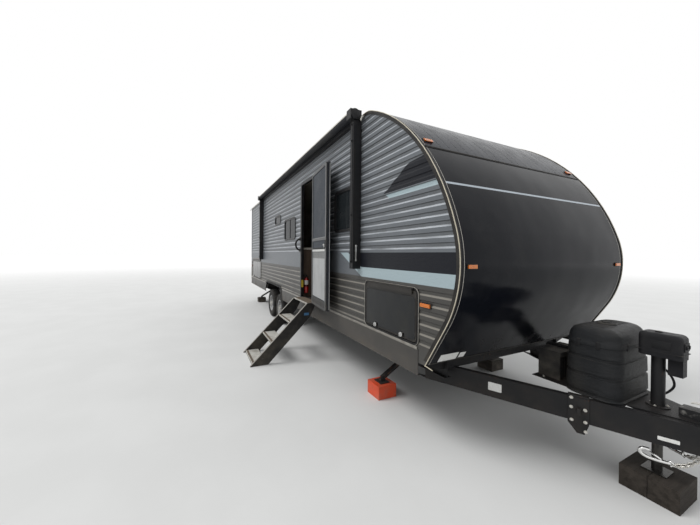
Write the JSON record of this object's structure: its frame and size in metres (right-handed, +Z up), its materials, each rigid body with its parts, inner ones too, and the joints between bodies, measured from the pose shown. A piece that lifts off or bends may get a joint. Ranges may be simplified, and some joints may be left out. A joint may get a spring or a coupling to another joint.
{
  "type": "travel trailer caravan",
  "caption": "Towed caravan with a rounded front, ribbed sides, tandem axles, drawbar with ball coupler, fold-down steps, awning and hinged doors, parked on its jack and legs.",
  "frame": {"origin": "centre of the coupler's ball socket, 0.500 m above the ground", "axes": "+X forward towards the tow vehicle, +Y to the left (street side), +Z up"},
  "size_m": [10.365, 3.465, 3.538],
  "materials": {
    "amber": "lens",
    "black_plastic": "moulded black plastic",
    "black_trim": "black anodised",
    "bright_alu": "mill finish",
    "cabinet": "brown laminate",
    "clear_glass": "clear",
    "counter": "light laminate",
    "door_skin": "white smooth panel",
    "extinguisher": "red paint",
    "floor": "floor deck with vinyl",
    "frame_paint": "black chassis paint",
    "front_skin": "gloss black sheet",
    "glass": "dark tinted",
    "mesh": "woven insect mesh",
    "orange": "orange levelling block",
    "red": "lens",
    "rim": "silver paint",
    "roof_skin": "white roof membrane",
    "siding": "satin baked enamel on ribbed aluminium",
    "skirt": "dark bronze sheet",
    "timber": "weathered dark timber",
    "trim": "cream moulding",
    "tyre": "rubber",
    "white_plastic": "white plastic"
  },
  "bodies": {
    "trailer": {"a_frame": "frame_paint", "amber_markers": "amber", "awning_arms": "black_trim", "awning_roller": "black_plastic", "axles": "frame_paint", "battery_box": "black_plastic", "bumper": "frame_paint", "chassis": "frame_paint", "coupler": "frame_paint", "crossmembers": "frame_paint", "curb_wall": "siding", "door_frame": "black_trim", "edge_trim": "trim", "fire_extinguisher": "extinguisher", "floor": "floor", "front_cap": "front_skin", "galley_cabinet": "cabinet", "galley_counter": "counter", "grab_handle": "black_plastic", "hatch_frames": "black_trim", "jack_cable": "black_plastic", "jack_column": "frame_paint", "jack_head": "black_plastic", "leaf_springs": "frame_paint", "leg_blocks": "orange", "lp_cover": "black_plastic", "rear_wall": "siding", "red_lamps": "red", "roof": "roof_skin", "roof_ac": "white_plastic", "roof_vents": "white_plastic", "sewer_outlet": "black_plastic", "skirts": "skirt", "step_bracket": "frame_paint", "street_wall": "siding", "tongue_block": "timber", "wheel_wells": "black_plastic", "window_frames": "black_trim", "window_glass": "glass"},
    "wheel_front_curb": {"tyre_front_curb": "tyre", "rim_front_curb": "rim"},
    "wheel_front_street": {"tyre_front_street": "tyre", "rim_front_street": "rim"},
    "wheel_rear_curb": {"tyre_rear_curb": "tyre", "rim_rear_curb": "rim"},
    "wheel_rear_street": {"tyre_rear_street": "tyre", "rim_rear_street": "rim"},
    "entry_door": {"entry_door": "door_skin", "entry_glass": "clear_glass"},
    "screen_door": {"screen_door": "bright_alu", "screen_mesh": "mesh"},
    "steps": {"steps": "frame_paint"},
    "curb_baggage_door": {"curb_baggage_door": "black_trim"},
    "street_baggage_door": {"street_baggage_door": "black_trim"},
    "kitchen_hatch": {"kitchen_hatch": "black_trim"},
    "jack_ram": {"jack_ram": "frame_paint"},
    "leg_front_curb": {"leg_front_curb": "frame_paint"},
    "leg_front_street": {"leg_front_street": "frame_paint"},
    "leg_rear_curb": {"leg_rear_curb": "frame_paint"},
    "leg_rear_street": {"leg_rear_street": "frame_paint"}
  },
  "joints": [
    {"name": "wheel_front_curb_spin", "type": "hinge", "parent": "trailer", "child": "wheel_front_curb", "pos_m": [-6.4, -1.07, -0.15], "axis": [0, 1, 0], "continuous": true},
    {"name": "wheel_front_street_spin", "type": "hinge", "parent": "trailer", "child": "wheel_front_street", "pos_m": [-6.4, 1.07, -0.15], "axis": [0, 1, 0], "continuous": true},
    {"name": "wheel_rear_curb_spin", "type": "hinge", "parent": "trailer", "child": "wheel_rear_curb", "pos_m": [-7.27, -1.07, -0.15], "axis": [0, 1, 0], "continuous": true},
    {"name": "wheel_rear_street_spin", "type": "hinge", "parent": "trailer", "child": "wheel_rear_street", "pos_m": [-7.27, 1.07, -0.15], "axis": [0, 1, 0], "continuous": true},
    {"name": "entry_door_hinge", "type": "hinge", "parent": "trailer", "child": "entry_door", "pos_m": [-3.859, -1.236, 1.37], "axis": [0, 0, 1], "range_deg": [-174, 0]},
    {"name": "screen_door_hinge", "type": "hinge", "parent": "entry_door", "child": "screen_door", "pos_m": [-3.859, -1.236, 1.37], "axis": [0, 0, -1], "range_deg": [0, 174]},
    {"name": "steps_hinge", "type": "hinge", "parent": "trailer", "child": "steps", "pos_m": [-4.2575, -1.129, 0.368], "axis": [1, 0, 0], "range_deg": [-135, 0]},
    {"name": "curb_baggage_door_hinge", "type": "hinge", "parent": "trailer", "child": "curb_baggage_door", "pos_m": [-1.925, -1.233, 0.853], "axis": [-1, 0, 0], "range_deg": [0, 160]},
    {"name": "street_baggage_door_hinge", "type": "hinge", "parent": "trailer", "child": "street_baggage_door", "pos_m": [-1.925, 1.233, 0.853], "axis": [1, 0, 0], "range_deg": [0, 160]},
    {"name": "kitchen_hatch_hinge", "type": "hinge", "parent": "trailer", "child": "kitchen_hatch", "pos_m": [-9.153, -1.233, 0.968], "axis": [-1, 0, 0], "range_deg": [0, 95]},
    {"name": "jack_extend", "type": "slide", "parent": "trailer", "child": "jack_ram", "axis": [0, 0, -1], "range_m": [-0.23, 0]},
    {"name": "leg_front_curb_swing", "type": "hinge", "parent": "trailer", "child": "leg_front_curb", "pos_m": [-2.42, -0.43, -0.013], "axis": [1, 0, 0], "range_deg": [-31, 0]},
    {"name": "leg_front_street_swing", "type": "hinge", "parent": "trailer", "child": "leg_front_street", "pos_m": [-2.42, 0.43, -0.013], "axis": [-1, 0, 0], "range_deg": [-31, 0]},
    {"name": "leg_rear_curb_swing", "type": "hinge", "parent": "trailer", "child": "leg_rear_curb", "pos_m": [-9.703, -0.43, -0.013], "axis": [1, 0, 0], "range_deg": [-31, 0]},
    {"name": "leg_rear_street_swing", "type": "hinge", "parent": "trailer", "child": "leg_rear_street", "pos_m": [-9.703, 0.43, -0.013], "axis": [-1, 0, 0], "range_deg": [-31, 0]}
  ]
}
